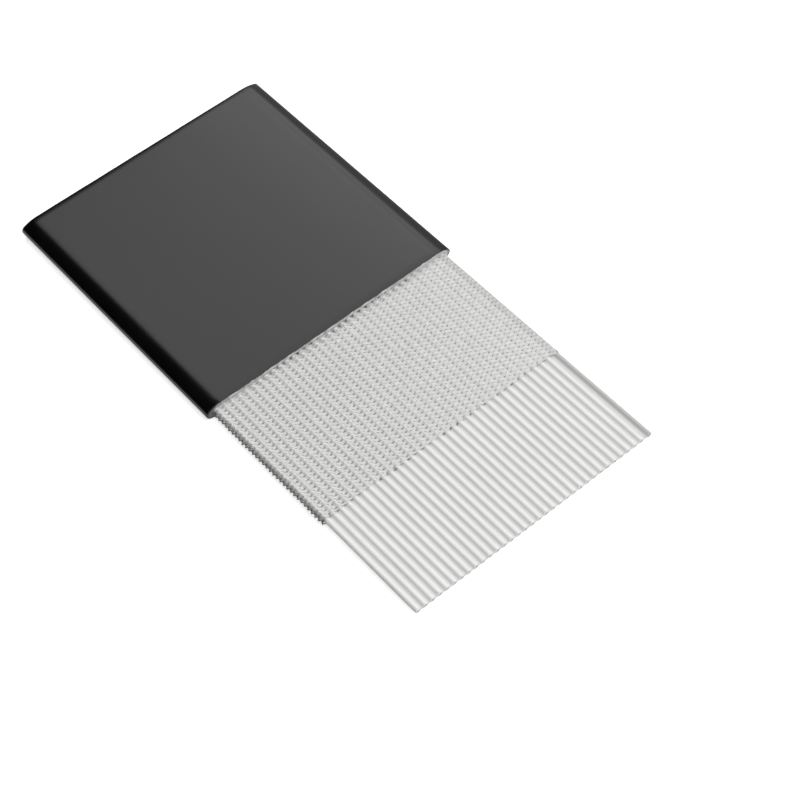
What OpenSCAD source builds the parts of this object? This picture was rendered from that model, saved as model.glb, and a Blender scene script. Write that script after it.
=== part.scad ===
// Flat shielded ribbon cable, cut back in steps so that its shield and its ribbon are bared.
// X runs across the cable, Y from the stripped end to the back end, and Z up from the surface it lies on.

/* [Conductors] */
// Number of conductors side by side
conductor_count = 34; // [10:1:50]
// Distance between the centres of neighbouring conductors
pitch = 1.27; // [1.24:0.01:1.6]
// Extra distance from its neighbour to the marked conductor at the +X edge
mark_gap = 0.27; // [0:0.01:0.4]
// Diameter of one wire strand
strand_d = 0.127; // [0.08:0.001:0.15]
// Space between neighbouring strands of one conductor
strand_gap = 0.002; // [0.001:0.001:0.01]

/* [Ribbon insulation] */
// Thickness of the insulation over each conductor
ribbon_t = 0.89; // [0.75:0.01:0.92]
// Thickness of the web between two conductors
web_t = 0.3; // [0.15:0.01:0.45]
// Space between the strands and the wall of their bore
bore_clearance = 0.01; // [0.005:0.005:0.03]
// Length of ribbon bared at the stripped end
ribbon_bare = 19.1; // [5:0.1:50]

/* [Shield] */
// Thickness of the shield's wall
shield_t = 0.14; // [0.08:0.01:0.18]
// Space between the ribbon's crests and the shield
shield_clearance = 0.02; // [0.01:0.01:0.05]
// Depth of the shield's valleys below its crests
shield_dip = 0.16; // [0.06:0.01:0.25]
// Slack of the shield where it folds round the ribbon's -X edge
fold_slack = 0.25; // [0.05:0.01:0.5]
// Length of shield bared in front of the jacket
shield_bare = 24.9; // [8:0.1:60]
// Conductors spanned by one opening of the mesh
opening_span = 4; // [3:1:6]
// Distance along the cable from one opening to the next in line
opening_step = 3.2; // [2.4:0.1:6]
// Width of the mesh strands between the openings
mesh_strand_w = 0.8; // [0.4:0.05:1.2]

/* [Jacket] */
// Length of the jacket
jacket_length = 47; // [20:0.5:150]
// Thickness of the jacket above and below the shield
jacket_wall = 0.72; // [0.5:0.02:1.2]
// Thickness of the jacket at each edge
jacket_edge_wall = 0.94; // [0.7:0.02:2]
// Space between the shield and the jacket
jacket_clearance = 0.03; // [0.01:0.01:0.1]
// Radius of the shoulder between the flat face and the edge
shoulder_r = 6.5; // [3:0.1:9]
// Radius of the edge itself
nose_r = 0.9; // [0.5:0.05:1]

/* [Hidden] */
$fn = 48;
colour_black_pvc = [0.1, 0.1, 0.1];
colour_grey_pvc = [0.8, 0.8, 0.79];
colour_tinned_copper = [0.76, 0.76, 0.75];

// Crest radii of the ribbon and of the shield's two faces, and half the height of the jacket's cavity
ribbon_r = ribbon_t / 2;
ribbon_dip = (ribbon_t - web_t) / 2;
shield_in_r = ribbon_r + shield_clearance;
shield_out_r = shield_in_r + shield_t;
cavity_r = shield_out_r + jacket_clearance;

// Grooves between the crests are this much flatter than arcs that only touch the crests
groove_ease = 1.05;

// Strands lie six round one
outer_strands = 6;
strand_pitch = strand_d + strand_gap;
bore_r = strand_pitch + strand_d / 2 + bore_clearance;

// Places along the cable
total_length = ribbon_bare + shield_bare + jacket_length;
front_y = -total_length / 2;
shield_y = front_y + ribbon_bare;
jacket_y = shield_y + shield_bare;

// Section of the jacket, measured from the middle of the cable
outer_crest_x = (conductor_count - 1) * pitch / 2;
cavity_end_x = outer_crest_x + max(fold_slack, mark_gap);
jacket_half_w = cavity_end_x + cavity_r + jacket_edge_wall;
jacket_half_t = cavity_r + jacket_wall;
mid_z = jacket_half_t;
nose_x = jacket_half_w - nose_r;
shoulder_drop = shoulder_r - jacket_half_t;
shoulder_x = nose_x - sqrt(pow(shoulder_r - nose_r, 2) - pow(shoulder_drop, 2));
nose_turn = atan2(shoulder_drop, nose_x - shoulder_x);
arc_steps = 12;

// Diamond openings of the mesh, in rows that are staggered by half an opening
opening_pitch_x = opening_span * pitch;
row_step = opening_step / 2;
diamond_reach = opening_pitch_x / 2 * row_step / norm([opening_pitch_x / 2, row_step]);
opening_half = (1 - mesh_strand_w / 2 / diamond_reach) * [opening_pitch_x / 2, row_step];
opening_columns = floor(2 * outer_crest_x / opening_pitch_x);
last_row = floor((shield_bare - opening_half[1]) / row_step);

// The last conductor is the marked one
function conductor_x(i) = (i - (conductor_count + 1) / 2) * pitch + (i == conductor_count ? mark_gap : 0);
function conductor_name(i) = str("conductor_", i < 10 ? "0" : "", i);

// Height of a groove's centre, from the distance between the crests beside it and its depth below them
function groove_height(gap, dip) = groove_ease * (pow(gap / 2, 2) - pow(dip, 2)) / (2 * dip);

// Points on an arc, without its two ends
function arc_between(centre, r, from, to) = [
    for (k = [1 : arc_steps - 1])
        let (angle = from + (to - from) * k / arc_steps)
        centre + r * [cos(angle), sin(angle)]
];

// Extrudes a section along the cable, at the height of the conductors
module along(from_y, length) {
    translate([0, from_y + length, mid_z])
        rotate([90, 0, 0])
            linear_extrude(height = length)
                children();
}

// Flat section with round ends
module slot(end_x, r) {
    square([2 * end_x, 2 * r], center = true);
    for (side = [-1, 1])
        translate([side * end_x, 0])
            circle(r);
}

// Round grooves above and below the web between two crests
module grooves(gap, crest_r, dip) {
    groove_z = groove_height(gap, dip);
    for (side = [-1, 1])
        translate([0, side * groove_z])
            circle(groove_z - crest_r + dip);
}

// Section of a ridged band: a round crest over each conductor and a round groove between each two
module ridged_band(crest_r, dip, slack = 0) {
    first_x = conductor_x(1);
    last_x = conductor_x(conductor_count);
    groove_z = groove_height(pitch, dip);
    groove_r = groove_z - crest_r + dip;
    reach = norm([pitch / 2, groove_z]);
    crossing = (pow(crest_r, 2) - pow(groove_r, 2) + pow(reach, 2)) / (2 * reach);
    web_half_t = crossing * groove_z / reach;
    difference() {
        union() {
            translate([(first_x + last_x) / 2, 0])
                square([last_x - first_x, 2 * web_half_t], center = true);
            for (i = [1 : conductor_count])
                translate([conductor_x(i), 0])
                    circle(crest_r);
            if (slack > 0)
                translate([first_x - slack / 2, 0])
                    slot(slack / 2, crest_r);
        }
        for (i = [1 : conductor_count - 1])
            translate([(conductor_x(i) + conductor_x(i + 1)) / 2, 0])
                grooves(conductor_x(i + 1) - conductor_x(i), crest_r, dip);
    }
}

// Outline of the jacket: flat faces, eased shoulders and round edges
module jacket_outline() {
    right_edge = concat(
        [[shoulder_x, -jacket_half_t]],
        arc_between([shoulder_x, shoulder_drop], shoulder_r, -90, -nose_turn),
        arc_between([nose_x, 0], nose_r, -nose_turn, nose_turn),
        arc_between([shoulder_x, -shoulder_drop], shoulder_r, nose_turn, 90),
        [[shoulder_x, jacket_half_t]]
    );
    polygon(concat(right_edge, -right_edge));
}

// Extruded tube of black PVC over the shield
module jacket() {
    color(colour_black_pvc)
        along(jacket_y, jacket_length)
            difference() {
                jacket_outline();
                slot(cavity_end_x, cavity_r);
            }
}

// Diamond cuts through both faces of the shield; the first row notches its cut end
module mesh_openings() {
    for (row = [0 : last_row]) {
        columns = opening_columns - row % 2;
        for (column = [1 : columns])
            translate([(column - (columns + 1) / 2) * opening_pitch_x, shield_y + row * row_step, 0])
                linear_extrude(height = 2 * mid_z)
                    polygon([
                        [opening_half[0], 0],
                        [0, opening_half[1]],
                        [-opening_half[0], 0],
                        [0, -opening_half[1]]
                    ]);
    }
}

// Expanded copper mesh folded round the ribbon and pressed over its crests
module shield() {
    color(colour_tinned_copper)
        difference() {
            along(shield_y, shield_bare + jacket_length)
                difference() {
                    ridged_band(shield_out_r, shield_dip, fold_slack);
                    ridged_band(shield_in_r, shield_dip, fold_slack);
                }
            mesh_openings();
        }
}

// Grey PVC ribbon with one bore for each conductor
module ribbon_insulation() {
    color(colour_grey_pvc)
        along(front_y, total_length)
            difference() {
                ridged_band(ribbon_r, ribbon_dip);
                for (i = [1 : conductor_count])
                    translate([conductor_x(i), 0])
                        circle(bore_r);
            }
}

// Stranded conductor: tinned copper wires, six laid round one
module conductor(i) {
    color(colour_tinned_copper)
        along(front_y, total_length)
            translate([conductor_x(i), 0]) {
                circle(d = strand_d);
                for (turn = [0 : outer_strands - 1])
                    rotate(turn * 360 / outer_strands)
                        translate([strand_pitch, 0])
                            circle(d = strand_d);
            }
}

jacket();
shield();
ribbon_insulation();
for (i = [1 : conductor_count])
    conductor(i);
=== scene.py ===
"""Looks of a cut sample of flat shielded ribbon cable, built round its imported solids.

X runs across the cable, Y from the stripped end to the back end, and Z up from the surface it lies on.
Sizes are in millimetres unless a name says otherwise, and every mesh is in metres.
"""

import logging
import math
from collections.abc import Callable
from dataclasses import dataclass
from enum import Enum
from functools import partial
from typing import Any

import bmesh
import bpy
import numpy as np
from mathutils import Matrix, Vector


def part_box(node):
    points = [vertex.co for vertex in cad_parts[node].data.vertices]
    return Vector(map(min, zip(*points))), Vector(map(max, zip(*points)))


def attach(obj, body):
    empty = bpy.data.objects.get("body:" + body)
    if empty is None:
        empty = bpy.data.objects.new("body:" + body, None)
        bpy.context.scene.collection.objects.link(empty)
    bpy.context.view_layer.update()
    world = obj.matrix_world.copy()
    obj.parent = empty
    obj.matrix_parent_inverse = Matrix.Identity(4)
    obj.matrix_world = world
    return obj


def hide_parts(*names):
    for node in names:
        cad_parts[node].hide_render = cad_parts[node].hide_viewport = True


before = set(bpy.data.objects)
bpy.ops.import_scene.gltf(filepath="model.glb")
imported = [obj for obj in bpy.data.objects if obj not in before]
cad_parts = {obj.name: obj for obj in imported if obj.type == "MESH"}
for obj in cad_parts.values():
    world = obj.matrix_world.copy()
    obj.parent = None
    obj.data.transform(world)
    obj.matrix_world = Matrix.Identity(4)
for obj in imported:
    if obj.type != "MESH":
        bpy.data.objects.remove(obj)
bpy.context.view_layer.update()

MM = 0.001
BODY = "root"
LOG = logging.getLogger("ribbon_cable")

# Points that lie nearer together than these are one point: on a finished piece, and at the seams of a tree.
DOUBLE_GAP = 0.0001
SEAM_GAP = 0.002

# Node types that the trees use most
MATH = "ShaderNodeMath"
VECTOR_MATH = "ShaderNodeVectorMath"
MAP_RANGE = "ShaderNodeMapRange"
MIX = "ShaderNodeMix"
NOISE = "ShaderNodeTexNoise"
COMBINE = "ShaderNodeCombineXYZ"
SEPARATE = "ShaderNodeSeparateXYZ"

Material = bpy.types.Material
Node = bpy.types.Node
Piece = bpy.types.Object
Socket = bpy.types.NodeSocket
Tree = bpy.types.NodeTree
Points = np.ndarray
Add = Callable[..., Node]

SOCKET_TYPES = {
    Piece: "NodeSocketObject",
    Material: "NodeSocketMaterial",
    int: "NodeSocketInt",
    float: "NodeSocketFloat",
    tuple: "NodeSocketVector",
}


class Slot(Enum):
    """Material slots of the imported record."""

    JACKET = "jacket_pvc"
    SHIELD = "shield_mesh"
    RIBBON = "ribbon_pvc"
    CONDUCTOR = "conductor_copper"


def linear(hex_colour: str) -> tuple[float, float, float, float]:
    """Turns an sRGB hex colour into linear red, green, blue and alpha.

    Args:
        hex_colour: Colour such as "#1a1a1a".

    Returns:
        Four linear values, with an alpha of 1.
    """
    shares = [int(hex_colour[i : i + 2], 16) / 255 for i in (1, 3, 5)]
    red, green, blue = (c / 12.92 if c <= 0.04045 else ((c + 0.055) / 1.055) ** 2.4 for c in shares)
    return red, green, blue, 1.0


def fill_inputs(node: Node, inputs: tuple | dict[str, Any]) -> None:
    """Fills or links the inputs of a node.

    Args:
        node: Node of a shader or geometry tree.
        inputs: What goes into its open sockets in order, or into those named. Each is a value, an output
            socket, a node that gives its first open output, or a list of these for a socket that joins them.
    """
    if isinstance(inputs, tuple):
        pairs = zip([socket for socket in node.inputs if socket.enabled], inputs)
    else:
        pairs = [(node.inputs[name], given) for name, given in inputs.items()]
    for socket, given in pairs:
        for source in given if isinstance(given, list) else [given]:
            if isinstance(source, Node):
                source = next(output for output in source.outputs if output.enabled)
            if isinstance(source, Socket):
                node.id_data.links.new(source, socket)
            else:
                socket.default_value = source


def add_node(tree: Tree, kind: str, inputs: tuple | dict[str, Any] = (), **settings: Any) -> Node:
    """Adds a node with its settings, and fills or links its inputs.

    Args:
        tree: Shader or geometry tree that takes the node.
        kind: Blender's identifier of the node type.
        inputs: What goes into its sockets, in the forms that fill_inputs takes.
        **settings: Properties of the node itself.

    Returns:
        The new node.
    """
    node = tree.nodes.new(kind)
    for name, value in settings.items():
        setattr(node, name, value)
    fill_inputs(node, inputs)
    return node


def start_material(name: str) -> tuple[Material, Add]:
    """Starts a material.

    Args:
        name: Name of the material.

    Returns:
        The material, and what adds a node to it.
    """
    material = bpy.data.materials.new(name)
    material.use_nodes = True
    return material, partial(add_node, material.node_tree)


def finish_material(material: Material, inputs: dict[str, Any]) -> Material:
    """Ends a material: links its shader's inputs, and sets its plain numbers on the shader's own sockets.

    Args:
        material: Material to end.
        inputs: What goes into the shader's sockets, by name.

    Returns:
        The same material.
    """
    fill_inputs(material.node_tree.nodes["Principled BSDF"], inputs)
    return material


def clouded_tone(add: Add, place: Socket, size: float, darkest: str, lightest: str) -> tuple[Node, Node]:
    """Adds the nodes for a colour that drifts softly between two tones.

    Args:
        add: Adds a node to the material.
        place: Place on the object.
        size: Size of the clouds.
        darkest: Darker tone.
        lightest: Lighter tone.

    Returns:
        The node that gives the clouds, and the one that gives the colour.
    """
    cloud = add(NOISE, {"Vector": place, "Scale": 1 / (size * MM), "Detail": 3.0})
    return cloud, add(MIX, (cloud, linear(darkest), linear(lightest)), data_type="RGBA")


def die_lines(add: Add, place: Socket, spacing: float, length: float, depth: float) -> tuple[Node, Node]:
    """Adds the nodes for the faint lines that an extruder's die draws along the cable.

    Args:
        add: Adds a node to the material.
        place: Place on the object.
        spacing: Distance from line to line.
        length: Length of a line.
        depth: Depth of the lines.

    Returns:
        The node that gives the lines, and the one that gives their relief.
    """
    scale = tuple(1 / (size * MM) for size in (spacing, length, spacing))
    stretch = add("ShaderNodeMapping", {"Vector": place, "Scale": scale})
    lines = add(NOISE, {"Vector": stretch, "Scale": 1.0, "Detail": 2.0})
    return lines, add("ShaderNodeBump", {"Distance": depth * MM, "Height": lines})


def unevenness(add: Add, place: Node, size: Socket, swing: float | Socket, detail: float) -> Node:
    """Adds the nodes for a noise that lies as often above zero as below it.

    Args:
        add: Adds a node to the tree.
        place: Place that the noise is read at.
        size: Size of its swells.
        swing: Distance between its lowest and its highest value.
        detail: Number of finer layers on the swells.

    Returns:
        The node that gives the noise.
    """
    fineness = add(MATH, (1.0, size), operation="DIVIDE")
    noise = add(NOISE, {"Vector": place, "Scale": fineness, "Detail": detail})
    centred = add(MATH, (noise, 0.5), operation="SUBTRACT")
    return add(MATH, (centred, swing), operation="MULTIPLY")


def start_geometry_tree(name: str, values: dict[str, Any]) -> tuple[Tree, Add, Any]:
    """Starts a geometry tree with an input for each named value, and one geometry output.

    Args:
        name: Name of the tree.
        values: Values of the inputs by name, which give the types of their sockets.

    Returns:
        The tree, what adds a node to it, and the sockets that give its inputs, by name.
    """
    tree = bpy.data.node_groups.new(name, "GeometryNodeTree")
    for label, value in values.items():
        tree.interface.new_socket(name=label, in_out="INPUT", socket_type=SOCKET_TYPES[type(value)])
    tree.interface.new_socket(name="Geometry", in_out="OUTPUT", socket_type="NodeSocketGeometry")
    return tree, partial(add_node, tree), tree.nodes.new("NodeGroupInput").outputs


def finish_geometry_tree(tree: Tree, geometry: Node, material: Socket) -> Tree:
    """Ends a geometry tree: realizes its instances, sets their material and links the output.

    Args:
        tree: Tree to end.
        geometry: Node that gives the geometry.
        material: Socket that gives the material.

    Returns:
        The same tree.
    """
    real = add_node(tree, "GeometryNodeRealizeInstances", {"Geometry": geometry})
    dressed = add_node(tree, "GeometryNodeSetMaterial", {"Geometry": real, "Material": material})
    add_node(tree, "NodeGroupOutput", {"Geometry": dressed})
    return tree


def link_object(name: str, data: bpy.types.ID) -> Piece:
    """Makes an object and links it to the scene.

    Args:
        name: Name of the object.
        data: Its mesh, curve, lamp or camera.

    Returns:
        The object, at the origin.
    """
    piece = bpy.data.objects.new(name, data)
    bpy.context.scene.collection.objects.link(piece)
    return piece


def grow(name: str, tree: Tree, values: dict[str, Any]) -> Piece:
    """Runs a geometry tree and keeps its result as a plain mesh.

    Args:
        name: Name of the new object.
        tree: Tree to run.
        values: Value of each named input.

    Returns:
        The object, at the origin and with no modifier left on it.
    """
    piece = link_object(name, bpy.data.meshes.new(name))
    modifier = piece.modifiers.new("build", "NODES")
    modifier.node_group = tree
    for item in tree.interface.items_tree:
        if item.in_out == "INPUT":
            modifier[item.identifier] = values[item.name]
    bake_modifiers(piece)
    return piece


def bake_modifiers(piece: Piece) -> None:
    """Turns an object's evaluated shape into its plain mesh and removes its modifiers.

    Args:
        piece: Object to bake.
    """
    evaluated = piece.evaluated_get(bpy.context.evaluated_depsgraph_get())
    mesh = bpy.data.meshes.new_from_object(evaluated)
    mesh.name = piece.name
    piece.modifiers.clear()
    piece.data = mesh


def new_object(name: str, points: Points, faces: list, material: Material | None = None) -> Piece:
    """Makes a mesh object from points in millimetres.

    Args:
        name: Name of the object.
        points: Array of points, three numbers each.
        faces: Lists of point indices.
        material: Material of every face, if any.

    Returns:
        The object, linked to the scene.
    """
    mesh = bpy.data.meshes.new(name)
    mesh.from_pydata((np.asarray(points) * MM).tolist(), [], faces)
    if material is not None:
        mesh.materials.append(material)
    return link_object(name, mesh)


def place_rings(rings: list[tuple[Points, Any]], height: float = 0.0) -> Points:
    """Sets outlines of the cross-section along the cable.

    Args:
        rings: Each outline, with the place of the whole or of each of its points along the cable.
        height: Height of the outlines' own middle.

    Returns:
        Array of points, three numbers each, ring after ring.
    """
    return np.vstack([np.insert(ring + (0, height), 1, y, axis=1) for ring, y in rings])


def closed_tube(name: str, rings: list[tuple[Points, Any]], height: float, material: Material) -> Piece:
    """Makes a tube through rings of equally many points, with the last ring joined to the first.

    Args:
        name: Name of the object.
        rings: Each outline, with its place along the cable.
        height: Height of the outlines' own middle.
        material: Material of the tube.

    Returns:
        The object, linked to the scene.
    """
    count = len(rings[0][0])
    faces = []
    for r in range(len(rings)):
        this, after = r * count, (r + 1) % len(rings) * count
        for i in range(count):
            j = (i + 1) % count
            faces.append([this + i, this + j, after + j, after + i])
    return new_object(name, place_rings(rings, height), faces, material)


def smooth_closed(piece: Piece, crease_deg: float) -> None:
    """Merges doubles, turns the faces outwards and shades them smooth up to a crease angle.

    Args:
        piece: Object with a closed mesh.
        crease_deg: Angle past which an edge stays sharp, in degrees.
    """
    shell = bmesh.new()
    shell.from_mesh(piece.data)
    bmesh.ops.remove_doubles(shell, verts=shell.verts, dist=DOUBLE_GAP * MM)
    bmesh.ops.recalc_face_normals(shell, faces=shell.faces)
    for face in shell.faces:
        face.smooth = True
    for edge in shell.edges:
        edge.smooth = len(edge.link_faces) == 2 and edge.calc_face_angle() < math.radians(crease_deg)
    shell.to_mesh(piece.data)
    shell.free()


def remove_helpers(*helpers: Piece) -> None:
    """Removes the objects that only fed another one."""
    for helper in helpers:
        bpy.data.objects.remove(helper)


def arc(centre: tuple[float, float], radius: float, start_deg: float, end_deg: float, steps: int) -> Points:
    """Points along an arc in the cable's cross-section.

    Args:
        centre: Centre across the cable and up.
        radius: Radius of the arc.
        start_deg: Angle of the first point, from +X towards +Z.
        end_deg: Angle of the last point.
        steps: Number of equal steps between them.

    Returns:
        Array of steps + 1 points, two numbers each.
    """
    angles = np.radians(np.linspace(start_deg, end_deg, steps + 1))
    return np.column_stack((centre[0] + radius * np.cos(angles), centre[1] + radius * np.sin(angles)))


def ripple(place: Any, rates: tuple[float, float], phase: float) -> Any:
    """Gives a slow, uneven wave between 0 and 1.

    Args:
        place: Where the wave is read, one number or an array.
        rates: Angles that its two parts turn through in a millimetre.
        phase: Angle that the second part starts at.

    Returns:
        The wave's height at each place.
    """
    return (1 + np.sin(rates[0] * place) * np.sin(rates[1] * place + phase)) / 2


@dataclass(frozen=True)
class Layout:
    """Places that the pieces share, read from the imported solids."""

    conductors_x: tuple[float, ...]
    mid_z: float
    front_y: float
    back_y: float
    shield_y: float
    jacket_y: float
    ribbon_half_t: float
    shield_half_t: float
    shield_x: tuple[float, float]
    jacket_half_t: float
    jacket_half_w: float

    @classmethod
    def from_frame(cls) -> "Layout":
        """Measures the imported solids.

        Returns:
            The layout in millimetres.
        """
        names = sorted(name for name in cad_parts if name.startswith("conductor_"))
        centres = [sum(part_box(name), Vector()) / 2 / MM for name in names]
        ribbon_low, ribbon_high = (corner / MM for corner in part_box("ribbon_insulation"))
        shield_low, shield_high = (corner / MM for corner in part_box("shield"))
        jacket_low, jacket_high = (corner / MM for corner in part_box("jacket"))
        return cls(
            conductors_x=tuple(centre.x for centre in centres),
            mid_z=(ribbon_low.z + ribbon_high.z) / 2,
            front_y=ribbon_low.y,
            back_y=ribbon_high.y,
            shield_y=shield_low.y,
            jacket_y=jacket_low.y,
            ribbon_half_t=(ribbon_high.z - ribbon_low.z) / 2,
            shield_half_t=(shield_high.z - shield_low.z) / 2,
            shield_x=(shield_low.x, shield_high.x),
            jacket_half_t=(jacket_high.z - jacket_low.z) / 2,
            jacket_half_w=(jacket_high.x - jacket_low.x) / 2,
        )

    @property
    def count(self) -> int:
        """Number of conductors."""
        return len(self.conductors_x)

    @property
    def pitch(self) -> float:
        """Distance between two neighbouring conductors, away from the marked edge."""
        return self.conductors_x[1] - self.conductors_x[0]

    @property
    def fold_x(self) -> tuple[float, float]:
        """Places across the cable that the shield's two folds turn round."""
        return self.shield_x[0] + self.shield_half_t, self.shield_x[1] - self.shield_half_t


@dataclass(frozen=True)
class BlackPvc:
    """Extruded black PVC: a satin skin that mirrors a soft box as a grey sheen and is black elsewhere."""

    darkest: str = "#020202"
    lightest: str = "#050505"
    # The cut face: its two tones, how far from the -X edge the darker one gives way to the other, and how
    # far down the black is smeared
    darker_cut: str = "#6a6a6a"
    cut: str = "#cccccc"
    darker_cut_reach: tuple[float, float] = (0.6, 4.8)
    smear: tuple[float, float] = (0.1, 1.1)
    smear_noise: tuple[float, float] = (0.3, 0.7)
    smear_size: float = 0.9
    # The skin
    skin_roughness: tuple[float, float] = (0.18, 0.24)
    cut_roughness: float = 0.75
    ior: float = 1.53
    cloud_size: float = 9.0
    line_spacing: float = 0.45
    line_length: float = 60.0
    line_depth: float = 0.0012
    grain_size: float = 0.16
    grain_depth: float = 0.0012
    # The speck of dust, by its place across and along the top
    speck_place: tuple[float, float] = (-17.94, 3.81)
    speck_radius: float = 0.3
    speck_dulling: float = 0.25

    def material(self, layout: Layout) -> Material:
        """Builds the material.

        Args:
            layout: Places that the pieces share.

        Returns:
            The material.
        """
        material, add = start_material("extruded_black_pvc")
        place = add("ShaderNodeTexCoord").outputs["Object"]
        cloud, tone = clouded_tone(add, place, self.cloud_size, self.darkest, self.lightest)
        # The knife smears the black skin over the rim of each cut face and whitens the PVC below it.
        # It is darker near the -X edge.
        depth = add("ShaderNodeAttribute", attribute_name="cut_depth").outputs["Fac"]
        across = add(SEPARATE, (place,)).outputs["X"]
        darker_cut_x = ((reach - layout.jacket_half_w) * MM for reach in self.darker_cut_reach)
        clean = add(MAP_RANGE, (across, *darker_cut_x))
        whitened = add(MIX, (clean, linear(self.darker_cut), linear(self.cut)), data_type="RGBA")
        drag = add(NOISE, {"Vector": place, "Scale": 1 / (self.smear_size * MM), "Detail": 2.0})
        smear = add(MAP_RANGE, (drag, *self.smear_noise, *self.smear))
        cut = add(MAP_RANGE, (depth, 0.0, smear))
        colour = add(MIX, (cut, tone, whitened), data_type="RGBA")
        # A speck of dust on the skin dulls it in one small spot.
        spot = (*self.speck_place, layout.mid_z + layout.jacket_half_t)
        reach = add(VECTOR_MATH, (place, tuple(v * MM for v in spot)), operation="DISTANCE")
        speck = add(MAP_RANGE, (reach, 0.0, self.speck_radius * MM, self.speck_dulling, 0.0))
        dull = add(MATH, (cut, speck), operation="MAXIMUM", use_clamp=True)
        satin = add(MAP_RANGE, (cloud, 0.0, 1.0, *self.skin_roughness))
        roughness = add(MIX, (dull, satin, self.cut_roughness))
        # The die's lines lie under a matt grain, drawn coarser than the real one so that it shows.
        _, relief = die_lines(add, place, self.line_spacing, self.line_length, self.line_depth)
        grain = add(NOISE, {"Vector": place, "Scale": 1 / (self.grain_size * MM), "Detail": 1.0})
        skin = add("ShaderNodeBump", {"Distance": self.grain_depth * MM, "Height": grain, "Normal": relief})
        inputs = {"Base Color": colour, "Roughness": roughness, "Normal": skin, "IOR": self.ior}
        return finish_material(material, inputs)


@dataclass(frozen=True)
class GreyPvc:
    """Extruded light-grey PVC: a smooth, slightly waxy skin, with a darker stripe along one edge ridge."""

    darkest: str = "#dadad9"
    lightest: str = "#e2e2e1"
    # Painted shade on the webs sunk between the ridges, whose tone gives way between these two distances
    # above and below the ribbon's middle
    web: str = "#c8c8c7"
    web_shade_fade: tuple[float, float] = (0.15, 0.32)
    # The stripe that marks the ribbon's +X edge, measured from the conductor under it
    stripe: str = "#b6b6b5"
    stripe_half_w: float = 0.605
    stripe_blur: float = 0.06
    # The skin
    roughness: tuple[float, float] = (0.38, 0.48)
    ior: float = 1.53
    glow_weight: float = 0.12
    glow_depth: float = 0.25
    cloud_size: float = 6.0
    line_spacing: float = 0.2
    line_length: float = 40.0
    line_depth: float = 0.002

    def material(self, layout: Layout) -> Material:
        """Builds the material.

        Args:
            layout: Places that the pieces share.

        Returns:
            The material.
        """
        material, add = start_material("extruded_grey_pvc")
        place = add("ShaderNodeTexCoord").outputs["Object"]
        _, tone = clouded_tone(add, place, self.cloud_size, self.darkest, self.lightest)
        # Painted shade: the webs sunk between the ridges are given a greyer tone.
        at = add(SEPARATE, (place,)).outputs
        level = add(MATH, (at["Z"], layout.mid_z * MM), operation="SUBTRACT")
        apart = add(MATH, (level,), operation="ABSOLUTE")
        full = add(MAP_RANGE, (apart, *(t * MM for t in self.web_shade_fade)))
        body = add(MIX, (full, linear(self.web), tone), data_type="RGBA")
        # The stripe's ink ends softly at the web beside the marked ridge.
        stripe_x = layout.conductors_x[-1] - self.stripe_half_w
        edge = ((stripe_x + side * self.stripe_blur) * MM for side in (-1, 1))
        inked = add(MAP_RANGE, (at["X"], *edge))
        colour = add(MIX, (inked, body, linear(self.stripe)), data_type="RGBA")
        lines, relief = die_lines(add, place, self.line_spacing, self.line_length, self.line_depth)
        waxy = add(MAP_RANGE, (lines, 0.0, 1.0, *self.roughness))
        inputs = {
            "Base Color": colour,
            "Roughness": waxy,
            "Normal": relief,
            "IOR": self.ior,
            "Subsurface Weight": self.glow_weight,
            "Subsurface Radius": (1.0, 1.0, 1.0),
            "Subsurface Scale": self.glow_depth * MM,
        }
        return finish_material(material, inputs)


@dataclass(frozen=True)
class TinnedCopper:
    """Copper with a dull tin skin: a pale grey metal whose gloss is broken up by a fine, patchy oxide."""

    name: str
    darkest: str
    lightest: str
    roughness: tuple[float, float]
    patch_size: float
    patch_roughness: float = 0.6
    pit_size: float = 0.05
    pit_depth: float = 0.001

    def material(self, layout: Layout) -> Material:
        """Builds the material.

        Args:
            layout: Places that the pieces share.

        Returns:
            The material.
        """
        material, add = start_material(self.name)
        place = add("ShaderNodeTexCoord").outputs["Object"]
        patches = {"Scale": 1 / (self.patch_size * MM), "Detail": 4.0, "Roughness": self.patch_roughness}
        patch = add(NOISE, {"Vector": place, **patches})
        dull = add(MAP_RANGE, (patch, 0.0, 1.0, *reversed(self.roughness)))
        pits = add(NOISE, {"Vector": place, "Scale": 1 / (self.pit_size * MM), "Detail": 1.0})
        relief = add("ShaderNodeBump", {"Distance": self.pit_depth * MM, "Height": pits})
        tone = self.tone(add, place, patch, layout)
        return finish_material(
            material, {"Base Color": tone, "Roughness": dull, "Normal": relief, "Metallic": 1.0}
        )

    def tone(self, add: Add, place: Socket, patch: Node, layout: Layout) -> Node:
        """Adds the nodes that colour the metal.

        Args:
            add: Adds a node to the material.
            place: Place on the object, not used here.
            patch: Node that gives the oxide's patches.
            layout: Places that the pieces share, not used here.

        Returns:
            The node that gives the colour.
        """
        return add(MIX, (patch, linear(self.darkest), linear(self.lightest)), data_type="RGBA")


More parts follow.
